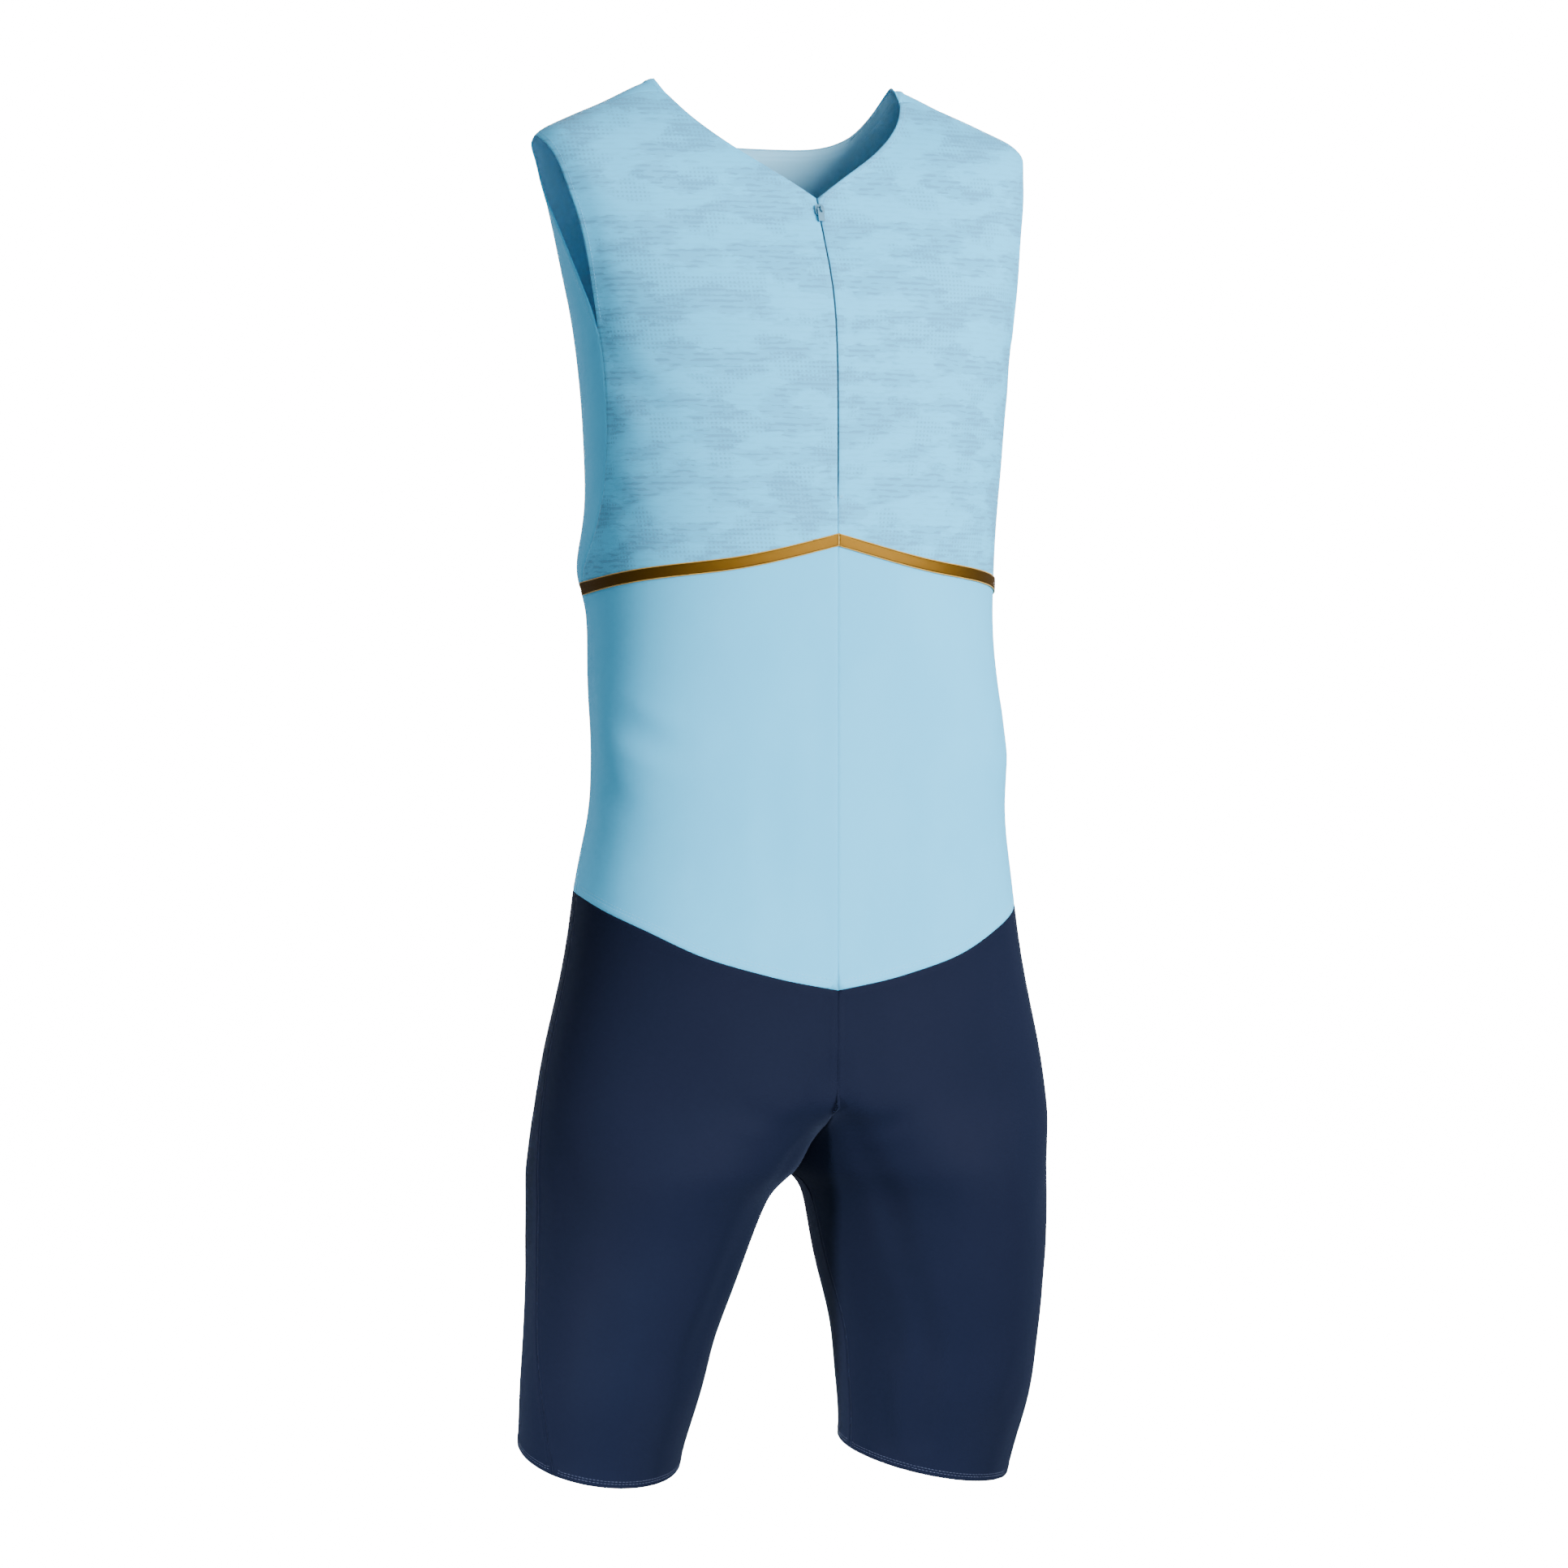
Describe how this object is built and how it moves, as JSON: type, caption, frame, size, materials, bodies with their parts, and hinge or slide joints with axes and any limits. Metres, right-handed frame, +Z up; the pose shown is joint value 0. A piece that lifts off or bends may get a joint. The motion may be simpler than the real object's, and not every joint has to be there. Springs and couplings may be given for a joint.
{
  "type": "athletics bodysuit",
  "caption": "Sleeveless half-zip athletics bodysuit with thigh-length legs, filled out as when worn: light blue bodice, gold chevron tape, navy shorts.",
  "frame": {"origin": "between the two highest points of the neck edge, where the wearer's shoulders hold the suit", "axes": "+Z up, the front faces -Y, the wearer's left is +X"},
  "size_m": [0.3893, 0.2293, 1.0166],
  "materials": {
    "blue_melange_jersey": "fine knit jersey, light blue with a mottled tone-in-tone pattern, slight sheen",
    "blue_jersey": "fine smooth elastane jersey, light blue, slight sheen",
    "navy_jersey": "fine smooth elastane jersey, navy, slight sheen",
    "gold_tape": "metallic gold woven tape, glossy",
    "zip_tape": "woven polyester tape, dull blue",
    "zip_coil": "nylon coil, dull blue",
    "painted_metal": "painted zinc, pale blue, satin"
  },
  "bodies": {
    "suit": {"front_upper_right": "blue_melange_jersey", "front_upper_left": "blue_melange_jersey", "front_lower_right": "blue_jersey", "front_lower_left": "blue_jersey", "back_upper": "blue_jersey", "back_lower": "blue_jersey", "shorts_front_right": "navy_jersey", "shorts_front_left": "navy_jersey", "shorts_back_right": "navy_jersey", "shorts_back_left": "navy_jersey", "gold_tape_right": "gold_tape", "gold_tape_left": "gold_tape", "zip_tape_right": "zip_tape", "zip_tape_left": "zip_tape", "zip_coil": "zip_coil", "zip_slider": "painted_metal"},
    "pull_tab": {"zip_pull_tab": "painted_metal"}
  },
  "joints": [
    {"name": "pull_tab_hinge", "type": "hinge", "parent": "suit", "child": "pull_tab", "pos_m": [0, -0.10228, -0.10162], "axis": [-1, 0, 0], "range_deg": [0, 120]}
  ]
}
